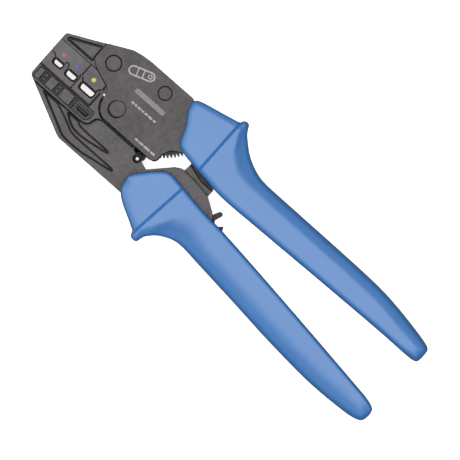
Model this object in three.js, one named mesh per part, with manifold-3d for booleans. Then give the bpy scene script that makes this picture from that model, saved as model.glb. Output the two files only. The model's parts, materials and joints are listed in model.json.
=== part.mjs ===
// Hand crimping tool for insulated terminals, lying flat with its jaws towards +Y.
// Millimetres, +Z up. The origin is under the middle of the tool, on the surface it lies on.
// Inside the file every outline is drawn around the jaw pivot, and z = 0 is the middle of the tool's thickness.

import * as THREE from 'three';
import { mergeVertices } from 'three/addons/utils/BufferGeometryUtils.js';
import Module from 'manifold-3d';

const wasm = await Module();
wasm.setup();

// ---- Driving dimensions ----

// Outer box of the closed tool, measured from the jaw pivot.
const LEFT = -40;
const RIGHT = 34.5;
const TOP = 40.3;
const BOTTOM = -178.4;

// Half thicknesses, from the middle of the tool outwards.
const HALF_SECTOR = 2.4;
const HALF_LINK = 3.4;
const HALF_CORE = 3.6;
const PLATE_INSIDE = 3.9;
const LEVER_OUTSIDE = 6.4;
const HALF_DIE = 6.7;
const PLATE_OUTSIDE = 6.9;
const HALF_GRIP = 10;
const GAP = 0.3;
const PIN_GAP = 0.2;

// Hinge centres of the closed tool.
const JAW_PIVOT = [0, 0];
const LEVER_PIVOT = [-22, -34];
const KNEE = [-9.5, -43.5];
const LINK_PIVOT = [9, -46];
const SECTOR_PIVOT = [19.5, -11.5];
const PAWL_PIVOT = [21.5, -48.5];
const HEAD_RIVET = [14.3, 15];
const SPRING_POST = [8, -14];
const SPRING_HOOK = [-11.1, -21.5];
const TANG_RIVETS = [[11.5, -80], [11, -108]];
const LEVER_RIVETS = [[-18, -78], [-22, -104]];

// Pin radii.
const JAW_PIN = 3.7;
const HEAD_RIVET_RADIUS = 3.4;
const SECTOR_PIN = 3;
const LEVER_PIN = 3;
const KNEE_PIN = 2.5;
const LINK_PIN = 2.2;
const LINK_PIN_PLAY = 1.1;
const PAWL_PIN = 1.5;
const SMALL_RIVET = 2;

// The main pivot pin stands this far out of the plates.
const JAW_PIN_RISE = 0.3;

// Jaw hub, and the jaw's rear arm round the lever pivot.
const HUB_RADIUS = 8.2;
const HUB_CLEARANCE = 8.6;
const JAW_ARM = 6.8;

// Eyes of the lever plates and the toggle link, and the pawl's hub.
const LEVER_EYE = 9;
const LINK_NEAR_EYE = 5.4;
const LINK_FAR_EYE = 5.3;
const PAWL_HUB = 3.4;

// Crimping dies: the mating faces and the die blocks' edges.
const DIE_SPLIT = 22.3;
const DIE_BOTTOM = 11;
const DIE_SEAT = 7.3;
const FIXED_FACE = -1.1;
const MOVING_FACE = -1.4;
const NESTS = {
  red: { low: 31.4, high: 36.5, depth: -3.6, dot: [2.2, 34.3] },
  blue: { low: 23.2, high: 28.8, depth: -4.1, dot: [2.3, 26.5] },
  yellow: { low: 12.2, high: 20, depth: -4.4, dot: [2.6, 16.7] },
};
const DIE_GAP = 0.15;
const NEST_CORNER = 1.1;
const DOT_RADIUS = 0.9;
const DOT_GAP = 0.02;

// Ratchet sector.
const TOOTH_TIP = 29.4;
const TOOTH_ROOT = 27.7;
const TOOTH_STEP = 3.3;
const TOOTH_COUNT = 13;
const FIRST_TOOTH = -146.5;
const SECTOR_HUB = 5.6;
const WINDOW_OUTER = 22.5;
const WINDOW_INNER = 12;

// Springs.
const SPRING_POST_RADIUS = 1.2;
const COIL_RADIUS = 1.6;
const WIRE_RADIUS = 0.45;
const COIL_TURNS = 10;
const HOOK_EYE = 1.3;
const HOOK_NOTCH = 2.05;
const PAWL_COIL_OUTER = 2.9;
const PAWL_COIL_INNER = 2.2;
const PAWL_COIL_HEIGHT = 0.8;

const GRIP_CHAMFER = 0.3;

// Facets: on a curve between two of its points, and on half a circle.
const CURVE_STEPS = 4;
const CIRCLE_STEPS = 14;

// ---- Materials ----

const steel = { color: 0x686465, roughness: 0.42, metalness: 0.85 };
const dieSteel = { color: 0x77727a, roughness: 0.38, metalness: 0.85 };
const blackSteel = { color: 0x1d1c1e, roughness: 0.5, metalness: 0.7 };
const pinSteel = { color: 0x746a69, roughness: 0.45, metalness: 0.85 };
const springSteel = { color: 0xb4b2b0, roughness: 0.3, metalness: 0.95 };
const gripPlastic = { color: 0x7a9bd0, roughness: 0.5, metalness: 0 };
const redPaint = { color: 0xb4545c, roughness: 0.5, metalness: 0 };
const bluePaint = { color: 0x4e5c98, roughness: 0.5, metalness: 0 };
const yellowPaint = { color: 0xc9c462, roughness: 0.5, metalness: 0 };

// ---- Shape helpers ----

const radians = THREE.MathUtils.degToRad;

function polygon(points) {
  return new THREE.Shape(points.map(([x, y]) => new THREE.Vector2(x, y)));
}

// A smooth curve from the outline's current point through the given ones.
function along(shape, points) {
  const route = [shape.currentPoint.clone(), ...points.map(([x, y]) => new THREE.Vector2(x, y))];
  const curve = new THREE.SplineCurve(route);
  for (const { x, y } of curve.getPoints(CURVE_STEPS * points.length).slice(1)) shape.lineTo(x, y);
}

function lines(shape, points) {
  for (const [x, y] of points) shape.lineTo(x, y);
}

function arc(shape, [x, y], radius, fromDegrees, toDegrees) {
  shape.absarc(x, y, radius, radians(fromDegrees), radians(toDegrees), toDegrees < fromDegrees);
}

function drill(shape, [x, y], radius) {
  const hole = new THREE.Path();
  hole.absarc(x, y, radius, 0, 2 * Math.PI);
  shape.holes.push(hole);
}

function circle([x, y], radius) {
  const disc = new THREE.Shape();
  disc.absarc(x, y, radius, 0, 2 * Math.PI);
  return disc;
}

function around([x, y], radius, degrees) {
  return [x + radius * Math.cos(radians(degrees)), y + radius * Math.sin(radians(degrees))];
}

function slab(shape, low, high, options = {}) {
  const settings = { depth: high - low, bevelEnabled: false, curveSegments: CIRCLE_STEPS, ...options };
  const geometry = new THREE.ExtrudeGeometry(shape, settings);
  geometry.translate(0, 0, low);
  return geometry;
}

function both(shape, half, options) {
  return slab(shape, -half, half, options);
}

// A slab with its long edges chamfered, its full outline kept.
function chamferedSlab(shape, half, chamfer) {
  return slab(shape, chamfer - half, half - chamfer, {
    bevelEnabled: true,
    bevelSegments: 1,
    bevelOffset: -chamfer,
    bevelSize: chamfer,
    bevelThickness: chamfer,
  });
}

// ---- Solid joins and cuts ----

function solid(geometry) {
  const bare = geometry.clone();
  bare.deleteAttribute('normal');
  bare.deleteAttribute('uv');
  const merged = mergeVertices(bare, 1e-4);
  return new wasm.Manifold(new wasm.Mesh({
    numProp: 3,
    vertProperties: new Float32Array(merged.attributes.position.array),
    triVerts: new Uint32Array(merged.index.array),
  }));
}

function geometryOf(manifold) {
  const mesh = manifold.getMesh();
  const geometry = new THREE.BufferGeometry();
  geometry.setAttribute('position', new THREE.BufferAttribute(mesh.vertProperties, 3));
  geometry.setIndex(new THREE.BufferAttribute(mesh.triVerts, 1));
  return geometry;
}

function join(...pieces) {
  return geometryOf(pieces.map(solid).reduce((sum, piece) => sum.add(piece)));
}

function cut(body, ...cutters) {
  return geometryOf(cutters.map(solid).reduce((rest, cutter) => rest.subtract(cutter), solid(body)));
}

// ---- Assembly ----

const tool = new THREE.Group();
const design = new THREE.Group();
design.position.set(-(LEFT + RIGHT) / 2, -(TOP + BOTTOM) / 2, HALF_GRIP);
tool.add(design);

function place(name, geometry, look) {
  const mesh = new THREE.Mesh(geometry, new THREE.MeshStandardMaterial(look));
  mesh.name = name;
  design.add(mesh);
}

function placePin(name, centre, radius, half, look = pinSteel) {
  place(name, both(circle(centre, radius), half), look);
}

// ---- Frame: side plates, fixed jaw and their rivets ----

function sidePlateOutline() {
  const shape = new THREE.Shape();
  shape.moveTo(17.8, 23);
  lines(shape, [[10.5, 23], [8, 20], [5.5, 13]]);
  along(shape, [[4.3, 10], [3, 8.7], [0, HUB_RADIUS]]);
  arc(shape, JAW_PIVOT, HUB_RADIUS, 90, 162);
  lines(shape, [[-7.8, -25.5]]);
  along(shape, [[-7, -28], [-5.5, -29]]);
  lines(shape, [[-1, -29.1]]);
  along(shape, [[1.4, -30.2], [3.2, -32.4], [4.6, -35.5]]);
  lines(shape, [[4.6, -62], [6.6, -75], [6.6, -114], [9, -118], [13, -118], [14.2, -114]]);
  lines(shape, [[15, -75], [20, -60], [25.6, -49], [25, -42], [24.4, -26.3], [26.3, -22.6], [26.2, 2]]);
  lines(shape, [[25.8, 7], [24.8, 12], [20.3, 21], [19.2, 23]]);
  drill(shape, JAW_PIVOT, JAW_PIN + PIN_GAP);
  drill(shape, HEAD_RIVET, HEAD_RIVET_RADIUS + PIN_GAP);
  drill(shape, SECTOR_PIVOT, SECTOR_PIN + PIN_GAP);
  drill(shape, LINK_PIVOT, LINK_PIN + PIN_GAP);
  drill(shape, PAWL_PIVOT, PAWL_PIN + PIN_GAP);
  for (const rivet of TANG_RIVETS) drill(shape, rivet, SMALL_RIVET + PIN_GAP);
  return shape;
}

function fixedJawGeometry() {
  const head = polygon([
    [DIE_SEAT, TOP], [9.7, TOP], [10.6, 39.9], [11, 39.3], [16.5, 28], [18.9, 23.4], [10.6, 23.4], [8, 20.5],
    [DIE_SEAT, 19.3],
  ]);
  const web = new THREE.Shape();
  web.moveTo(DIE_SEAT, TOP);
  lines(web, [[9.7, TOP], [10.6, 39.9], [11, 39.3], [16.5, 28], [20.3, 21], [24.8, 12], [25.6, 7], [25.6, -2.5]]);
  lines(web, [[23, -4], [14, -4.5]]);
  arc(web, JAW_PIVOT, HUB_CLEARANCE, -20, 82);
  lines(web, [[1.2, 10.2], [4.6, 10.2], [5.4, 12.4], [DIE_SEAT, 18.2]]);
  drill(web, HEAD_RIVET, HEAD_RIVET_RADIUS + PIN_GAP);
  return join(both(head, PLATE_OUTSIDE), both(web, HALF_CORE));
}

place('front_side_plate', slab(sidePlateOutline(), PLATE_INSIDE, PLATE_OUTSIDE), steel);
place('rear_side_plate', slab(sidePlateOutline(), -PLATE_OUTSIDE, -PLATE_INSIDE), steel);
place('fixed_jaw', fixedJawGeometry(), steel);
placePin('main_pivot_pin', JAW_PIVOT, JAW_PIN, PLATE_OUTSIDE + JAW_PIN_RISE);
placePin('head_rivet', HEAD_RIVET, HEAD_RIVET_RADIUS, PLATE_OUTSIDE);
placePin('sector_pivot_pin', SECTOR_PIVOT, SECTOR_PIN, PLATE_OUTSIDE);
placePin('link_pivot_pin', LINK_PIVOT, LINK_PIN, PLATE_OUTSIDE);
placePin('pawl_pivot_pin', PAWL_PIVOT, PAWL_PIN, PLATE_OUTSIDE);

function tangSpacerOutline() {
  const shape = polygon([[7, -72], [14.6, -72], [14, -115], [7, -115]]);
  for (const rivet of TANG_RIVETS) drill(shape, rivet, SMALL_RIVET + PIN_GAP);
  return shape;
}

place('tang_spacer', both(tangSpacerOutline(), HALF_CORE), blackSteel);
placePin('tang_rivet_upper', TANG_RIVETS[0], SMALL_RIVET, PLATE_OUTSIDE);
placePin('tang_rivet_lower', TANG_RIVETS[1], SMALL_RIVET, PLATE_OUTSIDE);

// ---- Moving jaw ----

const JAW_OUTER_EDGE = [[-12.8, TOP], [-13.9, 39.9], [-14.7, 39.1], [-27.1, 13.2], [-27.7, 11.2]];

// Full-thickness block: the die's back and the marked panel beside it.
function jawBlockOutline() {
  const shape = new THREE.Shape();
  shape.moveTo(-DIE_SEAT, TOP);
  lines(shape, [...JAW_OUTER_EDGE.slice(0, 3), [-15, 38.3], [-15, 9.5]]);
  along(shape, [[-14.6, 7.2], [-13.4, 5.6], [-11.6, 5.1], [-10, 4.6], [-9, 3.4], [-8.5, 1.9]]);
  arc(shape, JAW_PIVOT, HUB_CLEARANCE, 165, 88);
  lines(shape, [[0.2, 10.1], [-DIE_SEAT, 10.1]]);
  return shape;
}

// Middle layer: the whole jaw with its outer flange, its hub, its rear arm and the notch for the spring's hook.
function jawWebOutline() {
  const shape = new THREE.Shape();
  shape.moveTo(-DIE_SEAT, TOP);
  lines(shape, [...JAW_OUTER_EDGE, [-27.6, -28]]);
  arc(shape, LEVER_PIVOT, JAW_ARM, 160, 360);
  lines(shape, [[-12, -27.5], [-10.9, -24.4]]);
  arc(shape, SPRING_HOOK, HOOK_NOTCH, -60, -300);
  lines(shape, [[-9.4, -18.4], [-8.9, -17.4], [-6.6, -16.6]]);
  arc(shape, JAW_PIVOT, HUB_RADIUS, 232, 448);
  lines(shape, [[0.2, 10.1], [-DIE_SEAT, 10.1]]);
  drill(shape, JAW_PIVOT, JAW_PIN + PIN_GAP);
  drill(shape, LEVER_PIVOT, LEVER_PIN + PIN_GAP);
  return shape;
}

place('moving_jaw', join(both(jawBlockOutline(), PLATE_OUTSIDE), both(jawWebOutline(), HALF_CORE)), steel);

// ---- Dies ----

// A nest is a round-cornered notch in the moving die's face; the path runs from its high to its low end.
function nestNotch(shape, { low, high, depth }) {
  const inner = depth + NEST_CORNER;
  shape.lineTo(MOVING_FACE, high);
  arc(shape, [inner, high - NEST_CORNER], NEST_CORNER, 90, 180);
  arc(shape, [inner, low + NEST_CORNER], NEST_CORNER, 180, 270);
  shape.lineTo(MOVING_FACE, low);
}

function movingSmallDie() {
  const bottom = DIE_SPLIT + DIE_GAP;
  const shape = polygon([[DIE_GAP - DIE_SEAT, bottom], [DIE_GAP - DIE_SEAT, TOP], [0.05, TOP], [0.05, 38]]);
  nestNotch(shape, NESTS.red);
  lines(shape, [[0.3, 31.1], [0.8, 30.5], [0.3, 29.8], [MOVING_FACE, 29.3]]);
  nestNotch(shape, NESTS.blue);
  lines(shape, [[0.2, 22.8], [0.2, bottom]]);
  return shape;
}

function movingLargeDie() {
  const top = DIE_SPLIT - DIE_GAP;
  const shape = polygon([[DIE_GAP - DIE_SEAT, DIE_BOTTOM], [DIE_GAP - DIE_SEAT, top], [0.1, top], [0.1, 21.5]]);
  nestNotch(shape, NESTS.yellow);
  lines(shape, [[0.4, 12], [0.95, 11.5], [0.95, DIE_BOTTOM]]);
  return shape;
}

function fixedSmallDie() {
  const right = DIE_SEAT - DIE_GAP;
  return polygon([
    [right, DIE_SPLIT + DIE_GAP], [right, TOP], [0.35, TOP], [0.35, 37.8], [FIXED_FACE, 36.2], [FIXED_FACE, 31.5],
    [0.4, 31.4], [1.1, 30.6], [0.6, 29.5], [FIXED_FACE, 28.9], [FIXED_FACE, 23.2], [0.5, 22.8],
    [0.5, DIE_SPLIT + DIE_GAP],
  ]);
}

function fixedLargeDie() {
  const right = DIE_SEAT - DIE_GAP;
  return polygon([
    [right, 18.4], [right, DIE_SPLIT - DIE_GAP], [0.4, DIE_SPLIT - DIE_GAP], [0.4, 21.3], [FIXED_FACE, 19.7],
    [FIXED_FACE, 12.6], [0.6, 12.35], [1.35, 11.6], [1.35, DIE_BOTTOM], [4.4, DIE_BOTTOM], [5, 12.6],
  ]);
}

place('moving_die_small', both(movingSmallDie(), HALF_DIE), dieSteel);
place('moving_die_large', both(movingLargeDie(), HALF_DIE), dieSteel);
place('fixed_die_small', both(fixedSmallDie(), HALF_DIE), dieSteel);
place('fixed_die_large', both(fixedLargeDie(), HALF_DIE), dieSteel);

const dotPaints = { red: redPaint, blue: bluePaint, yellow: yellowPaint };
for (const [colour, { dot }] of Object.entries(NESTS)) {
  place(`${colour}_size_dot`, slab(circle(dot, DOT_RADIUS), HALF_DIE + DOT_GAP, PLATE_OUTSIDE), dotPaints[colour]);
}

// ---- Lever: two steel side plates around a core, pinned to the jaw's rear arm ----

function leverPlateOutline() {
  const shape = new THREE.Shape();
  shape.moveTo(-17, -25.2);
  lines(shape, [[-12, -27.9], [-2.5, -37], [-1, -39.8], [-0.85, -42], [-1.2, -48], [-1.8, -53], [-2.5, -56.8]]);
  lines(shape, [[-7.2, -64]]);
  lines(shape, [[-12.8, -67], [-17.6, -110], [-21.5, -116], [-27, -110], [-24.5, -70], [-24.5, -58]]);
  lines(shape, [[-30, -44]]);
  arc(shape, LEVER_PIVOT, LEVER_EYE, 205, 80);
  drill(shape, LEVER_PIVOT, LEVER_PIN + PIN_GAP);
  drill(shape, KNEE, KNEE_PIN + PIN_GAP);
  for (const rivet of LEVER_RIVETS) drill(shape, rivet, SMALL_RIVET + PIN_GAP);
  return shape;
}

// The core's two teeth stand out of the grip's inner edge.
function leverCoreOutline() {
  const shape = new THREE.Shape();
  shape.moveTo(-24, -68);
  lines(shape, [[-23, -63.5], [-8.8, -63.5], [-4.7, -65.4]]);
  arc(shape, [-5.1, -66.6], 1.2, 60, -120);
  lines(shape, [[-8.6, -66.6], [-10.4, -67.6], [-10.4, -69], [-8.2, -71.4], [-10.6, -72.6], [-13.8, -75]]);
  lines(shape, [[-18, -110], [-26.6, -110]]);
  for (const rivet of LEVER_RIVETS) drill(shape, rivet, SMALL_RIVET + PIN_GAP);
  return shape;
}

place('lever_front_plate', slab(leverPlateOutline(), PLATE_INSIDE, LEVER_OUTSIDE), steel);
place('lever_rear_plate', slab(leverPlateOutline(), -LEVER_OUTSIDE, -PLATE_INSIDE), steel);
place('lever_core', both(leverCoreOutline(), HALF_CORE), blackSteel);
placePin('lever_pivot_pin', LEVER_PIVOT, LEVER_PIN, LEVER_OUTSIDE);
placePin('knee_pin', KNEE, KNEE_PIN, LEVER_OUTSIDE);
placePin('lever_rivet_upper', LEVER_RIVETS[0], SMALL_RIVET, LEVER_OUTSIDE);
placePin('lever_rivet_lower', LEVER_RIVETS[1], SMALL_RIVET, LEVER_OUTSIDE);

// ---- Toggle link: its far eye is opened out, because the closed linkage is cut at that pin ----

function toggleLinkOutline() {
  const shape = new THREE.Shape();
  shape.absarc(...KNEE, LINK_NEAR_EYE, radians(80), radians(235));
  lines(shape, [[-3.2, -57], [1, -57], [6, -52.5]]);
  arc(shape, LINK_PIVOT, LINK_FAR_EYE, -80, 80);
  lines(shape, [[3, -41.5], [-0.5, -41.2]]);
  drill(shape, KNEE, KNEE_PIN + PIN_GAP);
  drill(shape, LINK_PIVOT, LINK_PIN + LINK_PIN_PLAY);
  return shape;
}

place('toggle_link', both(toggleLinkOutline(), HALF_LINK), steel);

// ---- Ratchet: toothed sector, pawl and pawl spring ----

function ratchetSectorOutline() {
  const last = FIRST_TOOTH + TOOTH_COUNT * TOOTH_STEP;
  const shape = new THREE.Shape();
  shape.moveTo(...around(SECTOR_PIVOT, TOOTH_ROOT, FIRST_TOOTH - 2));
  for (let tooth = 0; tooth < TOOTH_COUNT; tooth += 1) {
    const angle = FIRST_TOOTH + tooth * TOOTH_STEP;
    const tip = around(SECTOR_PIVOT, TOOTH_TIP, angle);
    const land = around(SECTOR_PIVOT, TOOTH_TIP, angle + 0.25 * TOOTH_STEP);
    const root = around(SECTOR_PIVOT, TOOTH_ROOT, angle + 0.55 * TOOTH_STEP);
    lines(shape, [tip, land, root]);
  }
  lines(shape, [around(SECTOR_PIVOT, TOOTH_ROOT, last)]);
  arc(shape, SECTOR_PIVOT, SECTOR_HUB, -60, 195);
  drill(shape, SECTOR_PIVOT, SECTOR_PIN + PIN_GAP);
  const window = new THREE.Path();
  window.absarc(...SECTOR_PIVOT, WINDOW_OUTER, radians(-137), radians(-106), false);
  window.absarc(...SECTOR_PIVOT, WINDOW_INNER, radians(-112), radians(-131), true);
  window.closePath();
  shape.holes.push(window);
  return shape;
}

// The pawl's tip waits just outside the tooth tips, past the last tooth of the closed tool.
function pawlOutline() {
  const tip = around(SECTOR_PIVOT, TOOTH_TIP + GAP, -96.5);
  const shape = new THREE.Shape();
  shape.moveTo(...tip);
  lines(shape, [[17.6, -42.6]]);
  arc(shape, PAWL_PIVOT, PAWL_HUB, 70, -160);
  lines(shape, [[15.6, -43]]);
  drill(shape, PAWL_PIVOT, PAWL_PIN + PIN_GAP);
  return shape;
}

// Torsion spring beside the pawl: one flat turn around the pin and two legs.
function pawlSpringGeometry() {
  const low = HALF_SECTOR + GAP;
  const high = low + PAWL_COIL_HEIGHT;
  const ring = circle(PAWL_PIVOT, PAWL_COIL_OUTER);
  drill(ring, PAWL_PIVOT, PAWL_COIL_INNER);
  const pawlLeg = polygon([[18.9, -47.6], [19.5, -46.9], [16.6, -43.2], [16, -43.8]]);
  const frameLeg = polygon([[19.4, -50.3], [18.7, -50.6], [17.2, -55], [18, -55.2]]);
  return join(slab(ring, low, high), slab(pawlLeg, low, high), slab(frameLeg, low, high));
}

place('ratchet_sector', both(ratchetSectorOutline(), HALF_SECTOR), blackSteel);
place('ratchet_pawl', both(pawlOutline(), HALF_SECTOR), blackSteel);
place('pawl_spring', pawlSpringGeometry(), springSteel);

// ---- Jaw return spring: a tension coil from the jaw's notch to a post between the side plates ----

function returnSpringPath() {
  const hook = new THREE.Vector3(...SPRING_HOOK, 0);
  const post = new THREE.Vector3(...SPRING_POST, 0);
  const length = hook.distanceTo(post);
  const direction = post.clone().sub(hook).normalize();
  const side = new THREE.Vector3(-direction.y, direction.x, 0);
  const up = new THREE.Vector3(0, 0, 1);
  const at = (distance, across, height) => hook.clone()
    .addScaledVector(direction, distance)
    .addScaledVector(side, across)
    .addScaledVector(up, height);
  const points = [];
  for (let step = 0; step <= 8; step += 1) {
    const turn = radians(50 + 35 * step);
    points.push(at(HOOK_EYE * Math.cos(turn), HOOK_EYE * Math.sin(turn), 0));
  }
  const coilStart = 2.7;
  const coilEnd = length - 4.6;
  const steps = COIL_TURNS * 8;
  for (let step = 0; step <= steps; step += 1) {
    const share = step / steps;
    const turn = 2 * Math.PI * COIL_TURNS * share;
    const distance = coilStart + (coilEnd - coilStart) * share;
    points.push(at(distance, -COIL_RADIUS * Math.cos(turn), COIL_RADIUS * Math.sin(turn)));
  }
  const eye = SPRING_POST_RADIUS + WIRE_RADIUS + GAP;
  points.push(at(length - 2.4, -eye, 0));
  for (let step = 0; step <= 5; step += 1) {
    const turn = radians(-90 + 48 * step);
    points.push(at(length + eye * Math.cos(turn), eye * Math.sin(turn), 0));
  }
  return new THREE.CatmullRomCurve3(points);
}

function returnSpringGeometry() {
  const path = returnSpringPath();
  const section = new THREE.Shape();
  section.absarc(0, 0, WIRE_RADIUS, 0, 2 * Math.PI);
  return new THREE.ExtrudeGeometry(section, { steps: COIL_TURNS * 8 + 24, extrudePath: path, curveSegments: 3 });
}

placePin('spring_post', SPRING_POST, SPRING_POST_RADIUS, PLATE_INSIDE - 0.1);
place('jaw_return_spring', returnSpringGeometry(), springSteel);

// ---- Grips: plastic shells over the steel tangs ----

// Each grip outline runs from the crest beside the jaw, round the ear and the handle's end, and back.
function movingGripOutline() {
  const shape = new THREE.Shape();
  shape.moveTo(-18, -24.4);
  along(shape, [[-21.3, -23.8], [-26.3, -25.1], [-30.5, -29.8], [-34.3, -36.8], [-37, -41.6]]);
  along(shape, [[-39.4, -42.7], [LEFT, -44.6], [-39.5, -46.2], [-38, -46.7]]);
  along(shape, [[-36.2, -47.1], [-34.6, -48.1], [-31.2, -51.6], [-28.4, -57.2], [-27.6, -63], [-28.7, -74]]);
  along(shape, [[-31.4, -100], [-33.6, -120], [-35.3, -142], [-35.5, -155], [-34.9, -168]]);
  along(shape, [[-34.2, -173], [-33.1, -176.2], [-30.5, -177.5], [-26.4, -177.4], [-24.9, -176.2]]);
  along(shape, [[-23.4, -171.5], [-21.7, -160], [-17.5, -130], [-13.5, -100], [-10.3, -74], [-9.2, -61]]);
  along(shape, [[-7.2, -47], [-6.1, -39]]);
  along(shape, [[-6.6, -35.4], [-9, -32.4]]);
  lines(shape, [[-12, -29.3]]);
  return shape;
}

function fixedGripOutline() {
  const shape = new THREE.Shape();
  shape.moveTo(23.7, -23.3);
  along(shape, [[20.6, -24.3], [16, -27.3], [11.5, -29.6], [7.6, -31], [5.4, -33.4], [4, -39], [2.5, -50]]);
  along(shape, [[1.1, -62], [1.3, -80], [2.3, -120], [3, -155], [3, -172]]);
  along(shape, [[3.5, -176.8], [5, -178.2], [8, BOTTOM], [10.6, -178.3], [12, -177.5]]);
  along(shape, [[13, -174.8], [15.1, -165], [16.8, -155], [18.1, -143], [18.6, -125], [18.8, -90]]);
  along(shape, [[19, -73], [20.5, -65.8], [24, -58.9], [29.1, -52.9], [31.2, -51.1], [33.2, -50.1]]);
  along(shape, [[34.2, -49.4], [RIGHT, -48], [33.6, -46.4], [32.3, -46]]);
  along(shape, [[31.6, -43.8], [30, -37], [28, -28]]);
  along(shape, [[26.8, -24.6], [25.3, -23.5]]);
  return shape;
}

// The cavity takes the tang; above the step it is open to the inner side, where the link passes.
function movingGripCavity() {
  return polygon([
    [8, -18], [-45, -18], [-45, -41.2], [-33.6, -41.2], [-27.6, -54], [-25.2, -60], [-25, -70], [-27.5, -111],
    [-21.5, -117], [-17.2, -111], [-12.4, -67.6], [8, -67.6],
  ]);
}

function movingGripSlot() {
  return polygon([[-14, -64], [8, -64], [8, -76], [-13.2, -76]]);
}

function fixedGripCavity() {
  return polygon([
    [-12, -18], [30, -18], [30, -26], [24.8, -26.3], [25.4, -42], [26, -49.2], [20.3, -60.3], [15.4, -75],
    [14.8, -114.5], [13.2, -118.6], [8.8, -118.6], [6, -114.5], [6, -75], [4.2, -64], [-12, -64],
  ]);
}

function gripGeometry(outline, cavity, halfCavity, slot) {
  const body = chamferedSlab(outline, HALF_GRIP, GRIP_CHAMFER);
  const cutters = [both(cavity, halfCavity)];
  if (slot) cutters.push(both(slot, HALF_CORE + GAP));
  return cut(body, ...cutters);
}

const movingGrip = gripGeometry(movingGripOutline(), movingGripCavity(), LEVER_OUTSIDE + GAP, movingGripSlot());
const fixedGrip = gripGeometry(fixedGripOutline(), fixedGripCavity(), PLATE_OUTSIDE + GAP);
place('moving_grip', movingGrip, gripPlastic);
place('fixed_grip', fixedGrip, gripPlastic);

export default tool;
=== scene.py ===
import json
import math

import bmesh
import bpy
import numpy as np
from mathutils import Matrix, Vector


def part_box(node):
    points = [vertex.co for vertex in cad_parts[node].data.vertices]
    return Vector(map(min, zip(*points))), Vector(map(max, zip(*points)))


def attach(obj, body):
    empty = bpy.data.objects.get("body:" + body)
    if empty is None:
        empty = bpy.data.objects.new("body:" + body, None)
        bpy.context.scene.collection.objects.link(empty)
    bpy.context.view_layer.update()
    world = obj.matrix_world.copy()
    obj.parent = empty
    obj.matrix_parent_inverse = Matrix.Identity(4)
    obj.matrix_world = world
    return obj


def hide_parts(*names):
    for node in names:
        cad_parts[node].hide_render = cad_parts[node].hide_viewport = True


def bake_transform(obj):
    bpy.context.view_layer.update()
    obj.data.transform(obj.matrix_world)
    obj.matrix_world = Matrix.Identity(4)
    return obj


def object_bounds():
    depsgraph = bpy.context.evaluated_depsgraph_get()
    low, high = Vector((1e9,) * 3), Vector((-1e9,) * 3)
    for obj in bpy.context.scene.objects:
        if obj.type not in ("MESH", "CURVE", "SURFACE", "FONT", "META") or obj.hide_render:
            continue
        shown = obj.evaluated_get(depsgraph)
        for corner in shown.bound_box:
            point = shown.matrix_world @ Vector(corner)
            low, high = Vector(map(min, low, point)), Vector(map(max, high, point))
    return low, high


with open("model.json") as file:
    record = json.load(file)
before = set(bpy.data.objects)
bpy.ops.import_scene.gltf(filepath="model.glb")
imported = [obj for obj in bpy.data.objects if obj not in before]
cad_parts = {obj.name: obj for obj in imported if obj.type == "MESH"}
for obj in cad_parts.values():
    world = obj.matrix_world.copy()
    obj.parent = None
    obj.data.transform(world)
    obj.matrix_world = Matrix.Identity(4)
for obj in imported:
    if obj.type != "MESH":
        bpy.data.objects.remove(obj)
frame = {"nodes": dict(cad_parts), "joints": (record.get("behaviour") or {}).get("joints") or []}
cad_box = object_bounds()

# Shapes are made in millimetres around the jaw pivot, with z = 0 at the middle of the tool's thickness.
# dress() then puts the finished mesh in the row frame, in metres.
MM = 0.001
PIVOT = Vector(next(j["pos_m"] for j in frame["joints"] if j["name"] == "jaw_pivot"))

# Heights above the middle of the thickness, and the room left round the grips' cavities
HALF_LINK = 3.4
HALF_CORE = 3.6
PLATE_INSIDE = 3.9
LEVER_OUTSIDE = 6.4
HALF_DIE = 6.7
PLATE_OUTSIDE = 6.9
HALF_GRIP = 10.0
GAP = 0.3

# Ends of the dies along y, and the split between the large and the small pair
TOP = 40.3
DIE_SPLIT = 22.3
DIE_BOTTOM = 11.0

HEAD_RIVET = (14.3, 15.0)
SECTOR_PIVOT = (19.5, -11.5)
SPRING_HOOK = (-11.1, -21.5)
SPRING_POST = (8.0, -14.0)


def row(x, y, z=0.0):
    """A point of the design in the row frame, in metres."""
    return PIVOT + Vector((x, y, z)) * MM


# ---- Mesh helpers ----

# The share of a side that a rounded corner may take, and how far a mitred corner may run out
CORNER_SHARE = 1 / 2.2
MITRE_LIMIT = 0.45
# A cutter starts this far above the surface. A pocket's wall breaks at these shares of its depth and draft.
OVERCUT = 0.5
BREAK_DEPTH = 0.6
BREAK_DRAFT = 0.45
# Half the height of the fillers that close slits, and how deep a face lies before it counts as sunk
BRIDGE = 2.0
SUNK = 0.03
# Welding distances, in metres on a CAD mesh and in millimetres later
CAD_WELD = 1e-6
WELD = 1e-3
# Angles between faces: flat below this in radians, rounded above this and smooth below this in degrees
FLAT_ANGLE = 0.01
BEVEL_ANGLE = 32
SMOOTH_ANGLE = 40


def catmull(points, spans=6):
    """A smooth curve through the points, with its ends at the first and last."""
    points = [np.array(p, float) for p in points]
    curve = []
    for i in range(len(points) - 1):
        before, start, end = points[max(i - 1, 0)], points[i], points[i + 1]
        after = points[min(i + 2, len(points) - 1)]
        for step in range(spans):
            t = step / spans
            leave, arrive = (end - before) / 2, (after - start) / 2
            curve.append(
                start + leave * t + (3 * (end - start) - 2 * leave - arrive) * t**2
                + (2 * (start - end) + leave + arrive) * t**3
            )
    return [tuple(p) for p in curve] + [tuple(points[-1])]


def arc(centre, radius, start, end, steps=24):
    """Points on an arc, in degrees."""
    angles = (math.radians(start + (end - start) * i / steps) for i in range(steps + 1))
    return [(centre[0] + radius * math.cos(a), centre[1] + radius * math.sin(a)) for a in angles]


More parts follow.
